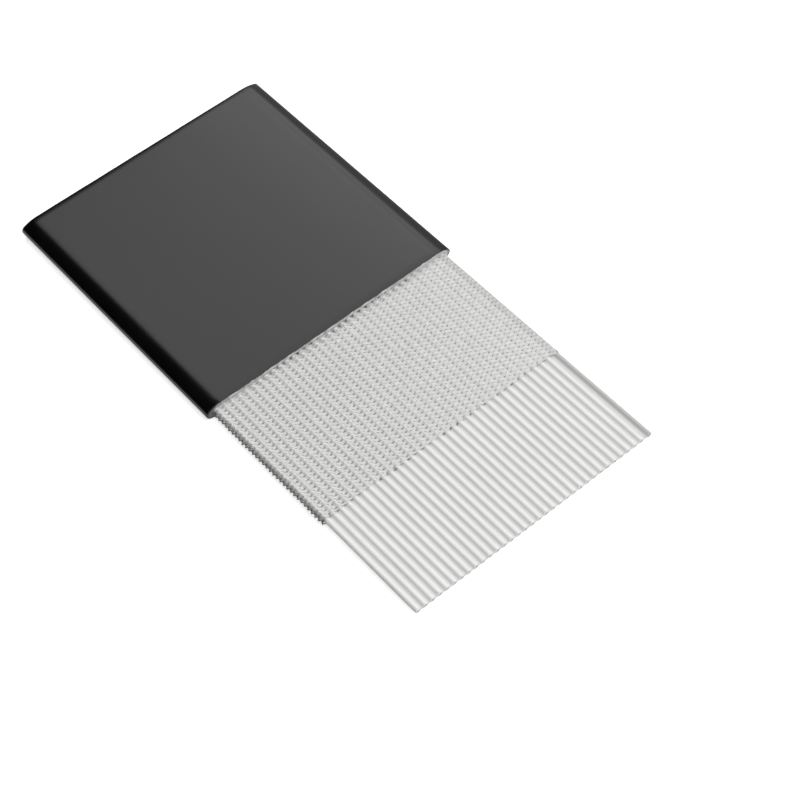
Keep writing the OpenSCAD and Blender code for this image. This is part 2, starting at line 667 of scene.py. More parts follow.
@dataclass(frozen=True)
class FoldedTin(TinnedCopper):
    """Tinned copper with painted shade on its folded edges, the -X edge more than the other.

    Where the jacket's mouth pinches the mesh between two ridges, and between the ridges at its sheared end,
    a darker grey is painted in as shade.
    """

    # Painted shade on the folds, which face away from the light: from where each fold starts to darken to
    # where it is darkest, as distances from the mesh's edge
    fold_shade: str = "#b0b0af"
    near_fold: tuple[float, float] = (0.81, 0.21)
    far_fold: tuple[float, float] = (1.83, 1.23)
    far_share: float = 0.15
    ragged: float = 0.6
    # Painted shade between the ridges at the jacket's mouth and at the sheared end
    valley_shade_colour: str = "#7c7c7c"
    valley_shade_ramp: tuple[float, float] = (0.5, 0.85)
    valley_shade_spread: float = 0.8

    def tone(self, add: Add, place: Socket, patch: Node, layout: Layout) -> Node:
        """Adds the nodes that colour the metal, with painted shade on its folds and between the ridges at the
        mouth and the cut.

        Args:
            add: Adds a node to the material.
            place: Place on the object.
            patch: Node that gives the oxide's patches.
            layout: Places that the pieces share.

        Returns:
            The node that gives the colour.
        """
        clean = super().tone(add, place, patch, layout)
        # Painted shade on both folds, darkest on the -X fold, with a ragged border.
        across = add(SEPARATE, (place,)).outputs["X"]
        centred = add(MATH, (patch, 0.5), operation="SUBTRACT")
        border = add(MATH, (centred, self.ragged * MM, across), operation="MULTIPLY_ADD")
        near_edge, far_edge = layout.shield_x
        near_x = ((near_edge + inward) * MM for inward in self.near_fold)
        far_x = ((far_edge - inward) * MM for inward in self.far_fold)
        near = add(MAP_RANGE, (border, *near_x))
        far = add(MAP_RANGE, (border, *far_x, 0.0, self.far_share))
        share = add(MATH, (near, far), operation="ADD")
        mixed = add(MIX, (share, clean, linear(self.fold_shade)), data_type="RGBA")
        # Painted shade: between the ridges at the jacket's mouth and at the sheared end the metal is mixed
        # towards a darker grey.
        stain = add("ShaderNodeAttribute", attribute_name="stain").outputs["Fac"]
        uneven = add(MATH, (centred, self.valley_shade_spread, stain), operation="MULTIPLY_ADD")
        black = add(MAP_RANGE, (uneven, *self.valley_shade_ramp))
        return add(MIX, (black, mixed, linear(self.valley_shade_colour)), data_type="RGBA")


MESH_TIN = FoldedTin(
    name="tinned_copper_mesh",
    darkest="#d6d6d5",
    lightest="#ececeb",
    roughness=(0.72, 0.86),
    patch_size=0.6,
)
STRAND_TIN = TinnedCopper(
    name="tinned_copper_strand",
    darkest="#adadac",
    lightest="#c6c6c5",
    roughness=(0.4, 0.55),
    patch_size=0.3,
)


@dataclass
class Jacket:
    """Flat oval tube of black PVC, cut square at both ends."""

    layout: Layout
    finish: BlackPvc = BlackPvc()
    shoulder_r: float = 6.5
    nose_r: float = 0.9
    clearance: float = 0.03
    edge_r: float = 0.07
    edge_turns_deg: tuple[float, ...] = (0, 30, 60, 90)
    flat_steps: int = 24
    arc_steps: int = 14
    body_rings: int = 36
    # How far the skin sinks where it sways along the jacket, and the cut faces where they wander
    sway: float = 0.01
    sway_rates: tuple[float, float] = (0.31, 0.13)
    sway_phase: float = 1.0
    cut_wander: float = 0.035
    cut_rates: tuple[float, float] = (0.9, 0.37)
    cut_phase: float = 2.0
    whitened_reach: float = 0.5
    crease_deg: float = 50.0

    def flat(self, end_x: float, height: float) -> Points:
        """Points along a flat stretch of the section, from its middle.

        Args:
            end_x: Where the stretch ends. No point is set there.
            height: Height of the stretch above the cable's middle.

        Returns:
            Array of points across the cable and up.
        """
        places = np.linspace(0, end_x, self.flat_steps, endpoint=False)
        return np.column_stack((places, np.full(self.flat_steps, height)))

    def outline(self, inset: float) -> Points:
        """Outer outline of the section, set in by a distance.

        Args:
            inset: Distance inside the outer skin.

        Returns:
            Closed ring of points across the cable and up, from its middle.
        """
        half_t = self.layout.jacket_half_t
        nose_x = self.layout.jacket_half_w - self.nose_r
        shoulder_drop = self.shoulder_r - half_t
        shoulder_x = nose_x - math.sqrt((self.shoulder_r - self.nose_r) ** 2 - shoulder_drop**2)
        turn_deg = math.degrees(math.atan2(shoulder_drop, nose_x - shoulder_x))
        shoulder = arc((shoulder_x, -shoulder_drop), self.shoulder_r - inset, 90, turn_deg, self.arc_steps)
        nose = arc((nose_x, 0), self.nose_r - inset, turn_deg, 0, self.arc_steps)
        return self.mirrored(np.vstack((self.flat(shoulder_x, half_t - inset), shoulder[:-1], nose)))

    def cavity(self, grow_by: float) -> Points:
        """Outline of the slot that holds the shield.

        Args:
            grow_by: Distance outside the slot's wall.

        Returns:
            Closed ring with as many points as the outer outline.
        """
        radius = self.layout.shield_half_t + self.clearance + grow_by
        end_x = max(abs(x) for x in self.layout.fold_x)
        end = arc((end_x, 0), radius, 90, 0, 2 * self.arc_steps)
        return self.mirrored(np.vstack((self.flat(end_x, radius), end)))

    @staticmethod
    def mirrored(quarter: Points) -> Points:
        """Closes a ring from the quarter that runs from the top's middle to the +X edge."""
        right = np.vstack((quarter, quarter[-2::-1] * (1, -1)))
        return np.vstack((right, right[-2:0:-1] * (-1, 1)))

    def rings(self) -> list[tuple[Points, float, float]]:
        """Rings of the tube in order: front face, outer skin and back face, from cavity to cavity.

        Returns:
            An outline, its place along the cable and its depth down the cut face, from 0 to 1, for each ring.
        """
        front, back = self.layout.jacket_y, self.layout.back_y
        edge = [
            (self.outline(self.edge_r * (1 - math.sin(a))), self.edge_r * (1 - math.cos(a)), 0.0)
            for a in np.radians(self.edge_turns_deg)
        ]
        body = [
            (self.outline(self.sway * ripple(y, self.sway_rates, self.sway_phase)), y, 0.0)
            for y in np.linspace(front, back, self.body_rings + 2)[1:-1]
        ]
        middle = (self.outline(self.edge_r) + self.cavity(0)) / 2
        rim = self.edge_r / 2
        # Each face lightens with depth, and the cavity turns black again a little way in.
        face = [
            (middle, 0.0, 0.5),
            (self.cavity(rim), 0.0, 1.0),
            (self.cavity(0), rim, 1.0),
            (self.cavity(0), rim + self.whitened_reach, 0.0),
        ]
        end = edge[::-1] + face
        front_end = [(ring, front + inside, depth) for ring, inside, depth in end[::-1]]
        back_end = [(ring, back - inside, depth) for ring, inside, depth in end]
        return front_end + body + back_end

    def build(self) -> list[Piece]:
        """Builds the jacket.

        Returns:
            The jacket as the only piece.
        """
        rings = self.rings()
        half_length = (self.layout.back_y - self.layout.jacket_y) / 2
        middle_y = (self.layout.back_y + self.layout.jacket_y) / 2
        placed = []
        # The hand-held cut wanders a little from square, always inside the solid's own length.
        for ring, y, _ in rings:
            wander = self.cut_wander * ripple(ring[:, 0], self.cut_rates, self.cut_phase)
            placed.append((ring, y - wander * (y - middle_y) / half_length))
        piece = closed_tube("jacket_tube", placed, self.layout.mid_z, self.finish.material(self.layout))
        depths = np.repeat([depth for _, _, depth in rings], len(rings[0][0]))
        cut = piece.data.attributes.new("cut_depth", "FLOAT", "POINT")
        cut.data.foreach_set("value", depths.astype(np.float32))
        smooth_closed(piece, self.crease_deg)
        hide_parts("jacket")
        return [piece]


@dataclass
class Shield:
    """Strip of expanded, tinned copper mesh that follows the ribbon's ridges and folds round its edges."""

    layout: Layout
    finish: TinnedCopper = MESH_TIN
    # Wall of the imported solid, thickness of the sheet itself, and depth of the valleys between ridges
    solid_t: float = 0.14
    metal_t: float = 0.06
    dip: float = 0.16
    row_pitch: float = 0.777
    opening_half_length: float = 0.48
    opening_half_height: float = 0.15
    bond_half_length: float = 0.06
    tilt: float = -0.01
    # Rows that the strip climbs in one turn round the ribbon, and its stretch under the jacket
    slant_rows: int = 7
    covered: float = 1.6
    lap: float = 0.1
    wave_steps: int = 16
    fold_steps: int = 24
    least_step: float = 0.001
    crumple: float = 0.045
    crumple_size: float = 0.55
    drift: float = 0.12
    drift_size: float = 5.0
    fray: float = 0.16
    fray_rates: tuple[float, ...] = (0.6, 2.3, 5.1)
    seed: int = 7
    # Size of the openings against the drawn ones at the -X and +X edges, and what adds to it
    gape: tuple[float, float] = (1.02, 0.52)
    gape_spread: float = 0.35
    gape_size: float = 1.6
    fold_gape: float = 0.4
    # How much steeper than drawn the strands stand on the two folds, below zero where they lean the other way
    fold_steepness: tuple[float, float] = (-18.0, -2.0)
    # The squeeze of the jacket's mouth, which fades towards both edges
    mouth_gape: float = 0.7
    mouth_reach: float = 1.2
    mouth_press: float = 0.16
    mouth_fade: float = 13.0
    # Painted shade between the ridges at the sheared end: how far it reaches and how strong it is
    cut_reach: float = 0.55
    cut_shade: float = 1.08
    crease_deg: float = 40.0

    def girth(self, offset: float = 0.0) -> Points:
        """Middle of the shield's wall all the way round the ribbon, from the first ridge's crest along +X.

        Args:
            offset: Distance outside the middle of the wall.

        Returns:
            Closed ring of points across the cable and up, from the cable's middle.
        """
        crest = self.layout.shield_half_t - self.solid_t / 2 + offset
        last = self.layout.count - 1
        ridge = np.linspace(0, last, last * self.wave_steps + 1)
        x = np.interp(ridge, np.arange(self.layout.count), self.layout.conductors_x)
        top = np.column_stack((x, crest - self.dip / 2 * (1 - np.cos(math.tau * ridge))))
        near, far = self.layout.fold_x
        far_fold = arc((far, 0), crest, 90, -90, self.fold_steps)
        near_fold = arc((near, 0), crest, 270, 90, self.fold_steps)
        ring = np.vstack((top, far_fold, top[::-1] * (1, -1), near_fold))
        apart = np.linalg.norm(ring - np.roll(ring, 1, axis=0), axis=1) > self.least_step
        return ring[apart]

    def girth_length(self) -> float:
        """Length of the strip round the ribbon."""
        ring = self.girth()
        return float(np.linalg.norm(np.roll(ring, -1, axis=0) - ring, axis=1).sum())

    def columns(self) -> int:
        """Number of openings round the ribbon, about one for each ridge above and below.

        Returns:
            The whole number that fits best.
        """
        first_wave = self.girth()[: self.wave_steps + 1]
        wave_length = np.linalg.norm(np.diff(first_wave, axis=0), axis=1).sum()
        return round(self.girth_length() / wave_length)

    def column_pitch(self) -> float:
        """Distance from one opening to the next round the ribbon."""
        return self.girth_length() / self.columns()

    def rise(self) -> float:
        """Distance along the cable that the slant gains from one opening to the next."""
        return self.slant_rows / self.columns() * self.row_pitch

    def cell(self) -> Piece:
        """Makes the flat patch of mesh that repeats: four strands and two bonds round two openings.

        Returns:
            A helper object in the flat strip's own plane.
        """
        column, rise = self.column_pitch(), self.rise()
        long, tall, bond = self.opening_half_length, self.opening_half_height, self.bond_half_length
        corners = {
            "ul": (-bond, tall, self.tilt),
            "ur": (bond, tall, self.tilt),
            "r": (long, 0.0, 0.0),
            "lr": (bond, -tall, -self.tilt),
            "ll": (-bond, -tall, -self.tilt),
            "l": (-long, 0.0, 0.0),
        }
        # Each patch lists its corners by the half columns and half rows to an opening and the corner of that.
        patches = (
            ((0, 0, "ur"), (0, 0, "r"), (1, 1, "ll"), (1, 1, "l")),
            ((0, 0, "l"), (0, 0, "ul"), (-1, 1, "r"), (-1, 1, "lr")),
            ((0, 0, "ul"), (0, 0, "ur"), (1, 1, "l"), (0, 2, "lr"), (0, 2, "ll"), (-1, 1, "r")),
        )
        points, reaches, faces = [], [], []
        for start in (0, 1):
            for patch in patches:
                faces.append(list(range(len(points), len(points) + len(patch))))
                for i, j, corner in patch:
                    x = (i + start) * column / 2
                    y = (j + start) * self.row_pitch / 2 + x / column * rise
                    reaches.append(corners[corner])
                    points.append((x, y, 0.0))
        reaches = np.array(reaches)
        cell = new_object("mesh_cell", np.array(points) + reaches, faces)
        reach = cell.data.attributes.new("reach", "FLOAT_VECTOR", "POINT")
        reach.data.foreach_set("vector", (reaches * MM).ravel().astype(np.float32))
        return cell

    def girth_curve(self) -> Piece:
        """Makes the closed curve that the strip is wrapped along.

        Returns:
            A helper object.
        """
        ring = self.girth()
        curve = bpy.data.curves.new("shield_girth", "CURVE")
        curve.dimensions = "3D"
        spline = curve.splines.new("POLY")
        spline.points.add(len(ring) - 1)
        for point, (x, z) in zip(spline.points, ring):
            point.co = (x * MM, 0.0, (self.layout.mid_z + z) * MM, 1.0)
        spline.use_cyclic_u = True
        return link_object("shield_girth", curve)

    def values(self, cell: Piece, girth: Piece, material: Material) -> dict[str, Any]:
        """Named inputs of the tree.

        Args:
            cell: Patch of mesh that repeats.
            girth: Curve that the strip is wrapped along.
            material: Material of the mesh.

        Returns:
            The inputs' values, with lengths in metres.
        """
        layout = self.layout
        # The slant carries the strip's end back by whole rows, so it starts ahead of the cut that trims it.
        spare_rows = self.slant_rows + 2
        reach = layout.jacket_y + self.covered - layout.shield_y
        lengths = {
            "Column Pitch": self.column_pitch(),
            "Row Pitch": self.row_pitch,
            "Rise per Column": self.rise(),
            "First Row": layout.shield_y - (spare_rows - 1) * self.row_pitch,
            "First Ridge": layout.conductors_x[0],
            "Ridge Pitch": layout.pitch,
            "Half Width": max(abs(x) for x in layout.shield_x),
            "Fold Start": max(abs(x) for x in layout.fold_x),
            "Crumple": self.crumple,
            "Crumple Size": self.crumple_size,
            "Drift": self.drift,
            "Drift Size": self.drift_size,
            "Gape Size": self.gape_size,
            "Mouth": layout.jacket_y,
            "Mouth Reach": self.mouth_reach,
            "Mouth Press": self.mouth_press,
            "Mouth Fade": self.mouth_fade,
            "Cut": layout.shield_y,
            "Cut Reach": self.cut_reach,
        }
        return {
            "Cell": cell,
            "Girth": girth,
            "Columns": self.columns(),
            "Rows": math.ceil(reach / self.row_pitch) + spare_rows,
            **{name: length * MM for name, length in lengths.items()},
            "Left Gape": self.gape[0],
            "Right Gape": self.gape[1],
            "Left Steepness": self.fold_steepness[0],
            "Right Steepness": self.fold_steepness[1],
            "Fold Gape": self.fold_gape,
            "Mouth Gape": self.mouth_gape,
            "Gape Spread": self.gape_spread,
            "Cut Stain": self.cut_shade,
            "Material": material,
        }

    def tree(self, values: dict[str, Any]) -> Tree:
        """Builds the tree that repeats the cell over a flat strip and wraps the strip round the girth.

        Args:
            values: Values of its named inputs.

        Returns:
            The tree.
        """
        tree, add, given = start_geometry_tree("expanded_mesh", values)
        column = add(COMBINE, (given["Column Pitch"], given["Rise per Column"]))
        row = add(COMBINE, {"Y": given["Row Pitch"]})
        first = add(COMBINE, {"Y": given["First Row"]})
        line = {"Count": given["Columns"], "Start Location": first, "Offset": column}
        across = add("GeometryNodeMeshLine", line)
        along = add("GeometryNodeMeshLine", {"Count": given["Rows"], "Offset": row})
        cell = add("GeometryNodeObjectInfo", {"Object": given["Cell"]}).outputs["Geometry"]
        lane = add("GeometryNodeInstanceOnPoints", {"Points": along, "Instance": cell})
        strip = add("GeometryNodeInstanceOnPoints", {"Points": across, "Instance": lane})
        flat = add("GeometryNodeRealizeInstances", {"Geometry": strip})
        length = add(MATH, (given["Columns"], given["Column Pitch"]), operation="MULTIPLY")
        girth = add("GeometryNodeObjectInfo", {"Object": given["Girth"]}).outputs["Geometry"]

        def spot_on_girth(flat_x: Socket) -> Any:
            """Adds the nodes that find the girth's point at a distance along the flat strip.

            Args:
                flat_x: Socket that gives the distance.

            Returns:
                The sockets that describe the point, by name.
            """
            turn = add(MATH, (flat_x, length), operation="DIVIDE")
            share = add(MATH, (turn,), operation="FRACT")
            inputs = {"Curves": girth, "Factor": share}
            return add("GeometryNodeSampleCurve", inputs, mode="FACTOR", use_all_curves=True).outputs

        # The openings gape where the strip folds and where the jacket squeezes it, and close up towards +X.
        drawn = add("GeometryNodeInputPosition")
        drawn_at = add(SEPARATE, (drawn,)).outputs
        rough_x = add(SEPARATE, (spot_on_girth(drawn_at["X"])["Position"],)).outputs["X"]
        right_edge = given["Half Width"]
        left_edge = add(MATH, (right_edge, -1.0), operation="MULTIPLY")
        lean, steepness = (
            add(MAP_RANGE, (rough_x, left_edge, right_edge, given[f"Left {what}"], given[f"Right {what}"]))
            for what in ("Gape", "Steepness")
        )
        side = add(MATH, (rough_x,), operation="ABSOLUTE")
        folded = add(MAP_RANGE, (side, given["Fold Start"], right_edge))
        mouth_start = add(MATH, (given["Mouth"], given["Mouth Reach"]), operation="SUBTRACT")
        squeezed = add(MAP_RANGE, (drawn_at["Y"], mouth_start, given["Mouth"]))
        fading = add(MAP_RANGE, (side, given["Mouth Fade"], right_edge, 1.0, 0.0))
        at_mouth = add(MATH, (squeezed, fading), operation="MULTIPLY")
        uneven = unevenness(add, drawn, given["Gape Size"], swing=2.0, detail=2.0)
        gape = lean
        for share, amount in ((folded, "Fold Gape"), (at_mouth, "Mouth Gape"), (uneven, "Gape Spread")):
            gape = add(MATH, (share, given[amount], gape), operation="MULTIPLY_ADD")
        spread = add(MATH, (gape, 1.0), operation="SUBTRACT")
        reach = add("GeometryNodeInputNamedAttribute", {"Name": "reach"}, data_type="FLOAT_VECTOR")
        moved = add(VECTOR_MATH, (reach, spread), operation="SCALE")
        opened = add(VECTOR_MATH, (drawn, moved), operation="ADD")
        place = add(SEPARATE, (opened,)).outputs
        spot = spot_on_girth(place["X"])
        outward = add(VECTOR_MATH, (spot["Tangent"], (0.0, 1.0, 0.0)), operation="CROSS_PRODUCT")
        run = add(COMBINE, {"Y": place["Y"]})
        base = add(VECTOR_MATH, (spot["Position"], run), operation="ADD")
        # Handling has left the thin strip uneven: its strands stand at odd angles and its rows wander.
        loose = add(MATH, (1.0, squeezed), operation="SUBTRACT")
        bent = add(MATH, (folded, loose), operation="MULTIPLY")
        toothed = add(MATH, (uneven, steepness, steepness), operation="MULTIPLY_ADD")
        steep = add(MATH, (bent, toothed, 1.0), operation="MULTIPLY_ADD")
        tilted = add(MATH, (place["Z"], steep), operation="MULTIPLY")
        bumps = unevenness(add, base, given["Crumple Size"], given["Crumple"], detail=2.0)
        uneven_height = add(MATH, (bumps, tilted), operation="ADD")
        wander = unevenness(add, base, given["Drift Size"], given["Drift"], detail=1.0)
        slid = add(COMBINE, {"Y": wander})
        # At its mouth the jacket presses the strip further down between the ridges.
        spot_x = add(SEPARATE, (spot["Position"],)).outputs["X"]
        inward = add(MATH, (spot_x, given["First Ridge"]), operation="SUBTRACT")
        ridges = add(MATH, (inward, given["Ridge Pitch"]), operation="DIVIDE")
        angle = add(MATH, (ridges, math.tau), operation="MULTIPLY")
        wave = add(MATH, (angle,), operation="COSINE")
        valley = add(MAP_RANGE, (wave, 1.0, -1.0))
        pinch = add(MATH, (valley, at_mouth), operation="MULTIPLY")
        pressed = add(MATH, (pinch, given["Mouth Press"]), operation="MULTIPLY")
        height = add(MATH, (uneven_height, pressed), operation="SUBTRACT")
        raised = add(VECTOR_MATH, (outward, height), operation="SCALE")
        offset = add(VECTOR_MATH, (raised, slid), operation="ADD")
        target = add(VECTOR_MATH, (base, offset), operation="ADD")
        # Painted shade: between the ridges, near the bared end's cut and at the jacket's mouth, the strands
        # are marked to be darkened.
        sheared_from = add(MATH, (given["Cut"], given["Cut Reach"]), operation="ADD")
        sheared = add(MAP_RANGE, (drawn_at["Y"], sheared_from, given["Cut"]))
        painted_shade = add(MATH, (sheared, given["Cut Stain"], at_mouth), operation="MULTIPLY_ADD")
        stain = add(MATH, (valley, painted_shade), operation="MULTIPLY")
        mark = {"Geometry": flat, "Name": "stain", "Value": stain}
        marked = add("GeometryNodeStoreNamedAttribute", mark, data_type="FLOAT", domain="POINT")
        wrapped = add("GeometryNodeSetPosition", {"Geometry": marked, "Position": target})
        joined = add("GeometryNodeMergeByDistance", {"Geometry": wrapped, "Distance": SEAM_GAP * MM})
        return finish_geometry_tree(tree, joined, given["Material"])

    def trim(self, piece: Piece) -> None:
        """Cuts the sheet off at its bared end and a little way under the jacket.

        Args:
            piece: The wrapped sheet, before it has its thickness.
        """
        sheet = bmesh.new()
        sheet.from_mesh(piece.data)
        phases = np.random.default_rng(self.seed).uniform(0, math.tau, len(self.fray_rates))

        def bend(way: int) -> None:
            """Slides the sheet along the cable by a wave across it.

            Args:
                way: -1 to bend it, and 1 to bend it back.
            """
            for vertex in sheet.verts:
                waves = np.sin(np.multiply(self.fray_rates, vertex.co.x / MM) + phases)
                vertex.co.y += way * self.fray * float(waves.mean()) * MM

        # The cuts are made straight across the sheet while it is bent, and so wander once it is bent back.
        bend(-1)
        for y, way in ((self.layout.shield_y, -1), (self.layout.jacket_y + self.covered, 1)):
            bmesh.ops.bisect_plane(
                sheet,
                geom=sheet.verts[:] + sheet.edges[:] + sheet.faces[:],
                plane_co=(0, y * MM, 0),
                plane_no=(0, way, 0),
                clear_outer=True,
            )
        bend(1)
        bmesh.ops.delete(sheet, geom=[v for v in sheet.verts if not v.link_faces], context="VERTS")
        sheet.to_mesh(piece.data)
        sheet.free()

    def sleeve(self, material: Material) -> Piece:
        """Makes the plain ridged stretch that the jacket hides, up to the cut at the back.

        Args:
            material: Material of the sleeve.

        Returns:
            A closed tube, to be joined to the mesh.
        """
        near, far = self.layout.jacket_y + self.covered - self.lap, self.layout.back_y
        corners = ((1, near), (1, far), (-1, far), (-1, near))
        rings = [(self.girth(side * self.metal_t / 2), y) for side, y in corners]
        sleeve = closed_tube("shield_sleeve", rings, self.layout.mid_z, material)
        smooth_closed(sleeve, self.crease_deg)
        return sleeve

    def build(self) -> list[Piece]:
        """Builds the shield.

        Returns:
            The shield as the only piece.
        """
        material = self.finish.material(self.layout)
        cell, girth = self.cell(), self.girth_curve()
        values = self.values(cell, girth, material)
        piece = grow("shield_mesh", self.tree(values), values)
        self.trim(piece)
        wall = piece.modifiers.new("wall", "SOLIDIFY")
        wall.thickness = self.metal_t * MM
        wall.offset = 0.0
        bake_modifiers(piece)
        sleeve = self.sleeve(material)
        merged = bmesh.new()
        merged.from_mesh(piece.data)
        merged.from_mesh(sleeve.data)
        merged.to_mesh(piece.data)
        merged.free()
        remove_helpers(cell, girth, sleeve)
        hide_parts("shield")
        return [piece]


@dataclass
class Ribbon:
    """Extruded ribbon of light-grey PVC, with a ridge and a bore for every conductor."""

    layout: Layout
    finish: GreyPvc = GreyPvc()
    web_half_t: float = 0.15
    bore_r: float = 0.2025
    groove_steps: int = 5
    crest_steps: int = 14
    edge_steps: int = 34
    length_steps: int = 6
    # How far the ribbon sways up and down, over what length, and the share of its length that the cuts wander
    sway: float = 0.02
    sway_size: float = 7.0
    cut_wander: float = 0.0012
    crease_deg: float = 45.0

    def ridge_outline(self, half: float, at_edge: bool) -> tuple[Points, list[bool]]:
        """Section of one ridge, from the web on its +X side round to where it began.

        Args:
            half: Distance from the conductor's centre to where the next ridge joins on.
            at_edge: True for a ridge at the ribbon's edge, which is round on its -X side.

        Returns:
            The outline's points from the conductor's centre, and whether the skin covers the step after each.
        """
        web, crest = self.web_half_t, self.layout.ribbon_half_t
        groove = (half**2 + web**2 - crest**2) / (2 * (crest - web))
        turn = math.degrees(math.atan2(half, web + groove))
        right = arc((half, web + groove), groove, -90, -90 - turn, self.groove_steps)
        if at_edge:
            round_side = arc((0, 0), crest, 90 - turn, 270 + turn, self.edge_steps)
            outline = np.vstack((right, round_side[1:-1], right[::-1] * (1, -1)))
            return outline, [True] * (len(outline) - 1) + [False]
        round_top = arc((0, 0), crest, 90 - turn, 90 + turn, self.crest_steps)
        top = np.vstack((right, round_top[1:-1], right[::-1] * (-1, 1)))
        skinned = [True] * (len(top) - 1) + [False]
        return np.vstack((top, -top)), skinned * 2

    def ridge(self, name: str, half: float, at_edge: bool) -> Piece:
        """Makes one ridge along the whole ribbon, open where the next ridge joins it.

        Args:
            name: Name of the helper object.
            half: Distance from the conductor's centre to where the next ridge joins on.
            at_edge: True for a ridge at the ribbon's edge.

        Returns:
            A helper object centred on its conductor.
        """
        outline, skinned = self.ridge_outline(half, at_edge)
        count = len(outline)
        angles = np.arctan2(outline[:, 1], outline[:, 0])
        bore = self.bore_r * np.column_stack((np.cos(angles), np.sin(angles)))
        places = np.linspace(self.layout.front_y, self.layout.back_y, self.length_steps + 1)
        faces = []
        last = 2 * count * self.length_steps
        for i in range(count):
            after = (i + 1) % count
            for step in range(self.length_steps):
                this, beyond = 2 * count * step, 2 * count * (step + 1)
                if skinned[i]:
                    faces.append([this + i, this + after, beyond + after, beyond + i])
                bore_this, bore_beyond = this + count, beyond + count
                faces.append([bore_this + i, bore_beyond + i, bore_beyond + after, bore_this + after])
            faces.append([i, count + i, count + after, after])
            faces.append([last + i, last + after, last + count + after, last + count + i])
        return new_object(name, place_rings([(ring, y) for y in places for ring in (outline, bore)]), faces)

    def tree(self, values: dict[str, Any]) -> Tree:
        """Builds the tree that sets the ridges side by side and closes both edges.

        Args:
            values: Values of its named inputs.

        Returns:
            The tree.
        """
        tree, add, given = start_geometry_tree("ridged_ribbon", values)
        step = add(COMBINE, (given["Pitch"],))
        first = add(COMBINE, {"X": given["First Inner X"], "Z": given["Height"]})
        line = {"Count": given["Inner Ridges"], "Start Location": first, "Offset": step}
        row = add("GeometryNodeMeshLine", line)
        ridge = add("GeometryNodeObjectInfo", {"Object": given["Ridge"]}).outputs["Geometry"]
        inner = add("GeometryNodeInstanceOnPoints", {"Points": row, "Instance": ridge})
        parts = [add("GeometryNodeRealizeInstances", {"Geometry": inner})]
        # Both edge ridges are drawn round on their -X side, so the far one is turned half round.
        for side, turn in (("Near", 0.0), ("Far", math.pi)):
            edge = add("GeometryNodeObjectInfo", {"Object": given[f"{side} Ridge"]}).outputs["Geometry"]
            seat = add(COMBINE, {"X": given[f"{side} X"], "Z": given["Height"]})
            seating = {"Geometry": edge, "Translation": seat, "Rotation": (0.0, 0.0, turn)}
            parts.append(add("GeometryNodeTransform", seating))
        whole = add("GeometryNodeJoinGeometry", {"Geometry": parts})
        joined = add("GeometryNodeMergeByDistance", {"Geometry": whole, "Distance": SEAM_GAP * MM})
        # The limp ribbon is never quite flat, and the cut across it is never quite straight.
        place = add("GeometryNodeInputPosition")
        at = add(SEPARATE, (place,)).outputs
        lift = unevenness(add, place, given["Sway Size"], given["Sway"], detail=0.0)
        across = add(COMBINE, (at["X"],))
        fineness = add(MATH, (1.0, given["Sway Size"]), operation="DIVIDE")
        knife = add(NOISE, {"Vector": across, "Scale": fineness, "Detail": 3.0})
        short = add(MATH, (knife, given["Cut Wander"]), operation="MULTIPLY")
        pull = add(MATH, (short, at["Y"]), operation="MULTIPLY")
        back = add(MATH, (pull, -1.0), operation="MULTIPLY")
        offset = add(COMBINE, {"Y": back, "Z": lift})
        settled = add("GeometryNodeSetPosition", {"Geometry": joined, "Offset": offset})
        return finish_geometry_tree(tree, settled, given["Material"])

    def build(self) -> list[Piece]:
        """Builds the ribbon.

        Returns:
            The ribbon as the only piece.
        """
        half, places = self.layout.pitch / 2, self.layout.conductors_x
        helpers = {
            "Ridge": self.ridge("ridge", half, at_edge=False),
            "Near Ridge": self.ridge("near_ridge", half, at_edge=True),
            "Far Ridge": self.ridge("far_ridge", places[-1] - places[-2] - half, at_edge=True),
        }
        values = {
            **helpers,
            "Inner Ridges": self.layout.count - 2,
            "Pitch": self.layout.pitch * MM,
            "First Inner X": places[1] * MM,
            "Near X": places[0] * MM,
            "Far X": places[-1] * MM,
            "Height": self.layout.mid_z * MM,
            "Sway": self.sway * MM,
            "Sway Size": self.sway_size * MM,
            "Cut Wander": self.cut_wander,
            "Material": self.finish.material(self.layout),
        }
        piece = grow("ribbon_ridges", self.tree(values), values)
        remove_helpers(*helpers.values())
        smooth_closed(piece, self.crease_deg)
        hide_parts("ribbon_insulation")
        return [piece]


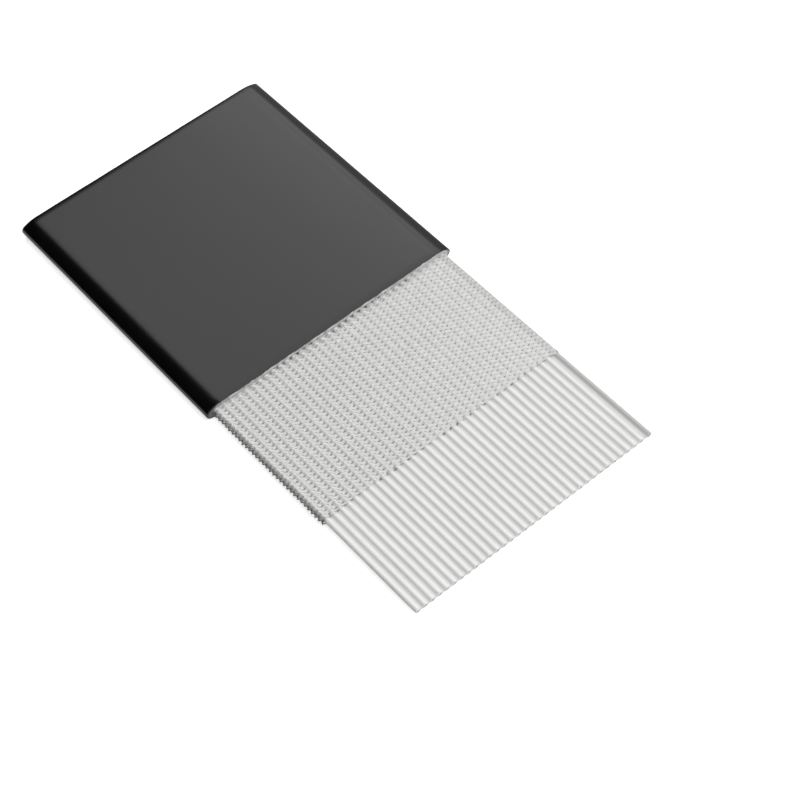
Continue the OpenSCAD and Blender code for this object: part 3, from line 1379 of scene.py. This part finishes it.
@dataclass
class Conductors:
    """Stranded conductors of tinned copper, six strands laid round one."""

    layout: Layout
    finish: TinnedCopper = STRAND_TIN
    strand_r: float = 0.0635
    lay_r: float = 0.129
    lay_length: float = 40.0
    rings_per_turn: int = 14
    sides: int = 8
    outer_strands: int = 6
    # How far inside the ribbon's cut faces the strands end
    setback: float = 0.06
    crease_deg: float = 60.0

    def tree(self, values: dict[str, Any]) -> Tree:
        """Builds the tree that lays the outer strands in a helix round the middle one.

        Args:
            values: Values of its named inputs.

        Returns:
            The tree.
        """
        tree, add, given = start_geometry_tree("stranded_wire", values)
        circle = {"Resolution": given["Sides"], "Radius": given["Strand Radius"]}
        section = add("GeometryNodeCurvePrimitiveCircle", circle)
        coil = {
            "Resolution": given["Rings per Turn"],
            "Rotations": given["Turns"],
            "Start Radius": given["Lay Radius"],
            "End Radius": given["Lay Radius"],
            "Height": given["Length"],
        }
        helix = add("GeometryNodeCurveSpiral", coil)
        tip = add(COMBINE, {"Z": given["Length"]})
        axis = add("GeometryNodeCurvePrimitiveLine", {"End": tip})
        strand, core = (
            add("GeometryNodeCurveToMesh", {"Curve": path, "Profile Curve": section, "Fill Caps": True})
            for path in (helix, axis)
        )
        seats = add("GeometryNodeMeshLine", {"Count": given["Outer Strands"], "Offset": (0.0, 0.0, 0.0)})
        step = add(MATH, (math.tau, given["Outer Strands"]), operation="DIVIDE")
        turn = add(MATH, (add("GeometryNodeInputIndex"), step), operation="MULTIPLY")
        turned = add(COMBINE, {"Z": turn})
        layer = add("GeometryNodeInstanceOnPoints", {"Points": seats, "Instance": strand, "Rotation": turned})
        bundle = add("GeometryNodeJoinGeometry", {"Geometry": [layer, core]})
        # The strands are drawn upright, and are laid down to run along the cable.
        laying = {"Geometry": bundle, "Translation": given["Start"], "Rotation": (-math.pi / 2, 0.0, 0.0)}
        laid = add("GeometryNodeTransform", laying)
        return finish_geometry_tree(tree, laid, given["Material"])

    def build(self) -> list[Piece]:
        """Builds one wire for each conductor.

        Returns:
            The wires in order.
        """
        length = self.layout.back_y - self.layout.front_y - 2 * self.setback
        values = {
            "Strand Radius": self.strand_r * MM,
            "Lay Radius": self.lay_r * MM,
            "Length": length * MM,
            "Turns": length / self.lay_length,
            "Rings per Turn": self.rings_per_turn,
            "Sides": self.sides,
            "Outer Strands": self.outer_strands,
            "Start": (0.0, 0.0, 0.0),
            "Material": self.finish.material(self.layout),
        }
        tree = self.tree(values)
        pieces = []
        for number, x in enumerate(self.layout.conductors_x, start=1):
            start = (x, self.layout.front_y + self.setback, self.layout.mid_z)
            piece = grow(f"wire_{number:02d}", tree, {**values, "Start": tuple(v * MM for v in start)})
            smooth_closed(piece, self.crease_deg)
            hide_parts(f"conductor_{number:02d}")
            pieces.append(piece)
        return pieces


@dataclass(frozen=True)
class SoftBox:
    """A soft box that faces the cable. Its level is how bright its white front looks."""

    name: str
    direction: tuple[float, float, float]
    width: float
    height: float
    level: float
    distance: float = 600.0

    def build(self) -> None:
        """Hangs the lamp along its direction, with its height lined up with the cable's length."""
        lamp = bpy.data.lights.new(self.name, "AREA")
        lamp.shape = "RECTANGLE"
        lamp.size, lamp.size_y = self.width * MM, self.height * MM
        lamp.energy = self.level * math.pi * lamp.size * lamp.size_y
        away = Vector(self.direction).normalized()
        length = (Vector((0, 1, 0)) - away * away.y).normalized()
        turn = Matrix((length.cross(away), length, away)).transposed().to_4x4()
        place = Matrix.Translation(away * self.distance * MM)
        link_object(self.name, lamp).matrix_world = place @ turn


@dataclass(frozen=True)
class Camera:
    """The camera that took the picture, fitted to the ribbon's ridges and the cut ends."""

    eye: tuple[float, float, float] = (-102.373, -156.211, 235.570)
    aim: tuple[float, float, float] = (-0.843, -17.941, 2.0)
    roll_deg: float = -4.80
    lens: float = 92.41
    sensor: float = 36.0
    nearest: float = 10.0
    farthest: float = 10000.0

    def build(self) -> None:
        """Makes the camera the scene's own."""
        data = bpy.data.cameras.new("camera")
        data.lens, data.sensor_width, data.sensor_fit = self.lens, self.sensor, "HORIZONTAL"
        data.clip_start, data.clip_end = self.nearest * MM, self.farthest * MM
        view = Vector(self.aim) - Vector(self.eye)
        level = view.to_track_quat("-Z", "Y").to_matrix().to_4x4()
        roll = Matrix.Rotation(math.radians(self.roll_deg), 4, "Z")
        holder = link_object("camera", data)
        holder.matrix_world = Matrix.Translation(Vector(self.eye) * MM) @ level @ roll
        bpy.context.scene.camera = holder


@dataclass
class Studio:
    """White floor, soft boxes and camera."""

    boxes: tuple[SoftBox, ...] = (
        SoftBox("key", direction=(0.398, 0.42, 0.74), width=448, height=460, level=1.5),
        SoftBox("key_core", direction=(0.455, 0.42, 0.73), width=60, height=460, level=1.0, distance=590),
        SoftBox("fill", direction=(0.22, -0.54, 0.81), width=1100, height=560, level=3.15),
        SoftBox("side", direction=(0.80, 0.48, 0.37), width=420, height=620, level=0.53),
    )
    surround: str = "#1e1e1e"
    floor: str = "#efefef"
    floor_lift: float = 0.6
    mirrored_lift: float = 0.08
    floor_reach: float = 3000.0

    def build(self) -> None:
        """Builds the floor, the lights, the world and the camera."""
        bpy.context.scene.view_settings.view_transform = "Standard"
        Camera().build()
        for box in self.boxes:
            box.build()
        world = bpy.data.worlds.new("surround")
        world.use_nodes = True
        world.node_tree.nodes["Background"].inputs["Color"].default_value = linear(self.surround)
        bpy.context.scene.world = world
        reach = self.floor_reach
        corners = np.array([(-reach, -reach, 0), (reach, -reach, 0), (reach, reach, 0), (-reach, reach, 0)])
        new_object("floor", corners, [[0, 1, 2, 3]], self.floor_material())

    def floor_material(self) -> Material:
        """Builds matt white paper, lifted towards white for the camera, mirrors and glass, with its shadows.

        Returns:
            The material.
        """
        material, add = start_material("white_paper")
        path = add("ShaderNodeLightPath").outputs
        mirrored = add(MATH, (path["Is Glossy Ray"], path["Is Transmission Ray"]), operation="MAXIMUM")
        lift = add(MATH, (mirrored, self.mirrored_lift), operation="MULTIPLY")
        shown = add(MATH, (path["Is Camera Ray"], self.floor_lift, lift), operation="MULTIPLY_ADD")
        inputs = {
            "Base Color": linear(self.floor),
            "Roughness": 1.0,
            "Specular IOR Level": 0.0,
            "Emission Color": (1.0, 1.0, 1.0, 1.0),
            "Emission Strength": shown,
        }
        return finish_material(material, inputs)


def main() -> None:
    """Builds the studio and the cable's pieces in order."""
    logging.basicConfig(level=logging.INFO, format="%(name)s: %(message)s")
    layout = Layout.from_frame()
    Studio().build()
    for assembly in (Jacket(layout), Shield(layout), Ribbon(layout), Conductors(layout)):
        for piece in assembly.build():
            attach(piece, BODY)
            piece.data.calc_loop_triangles()
            LOG.info("%s: %d triangles", piece.name, len(piece.data.loop_triangles))


if __name__ == "__main__":
    main()
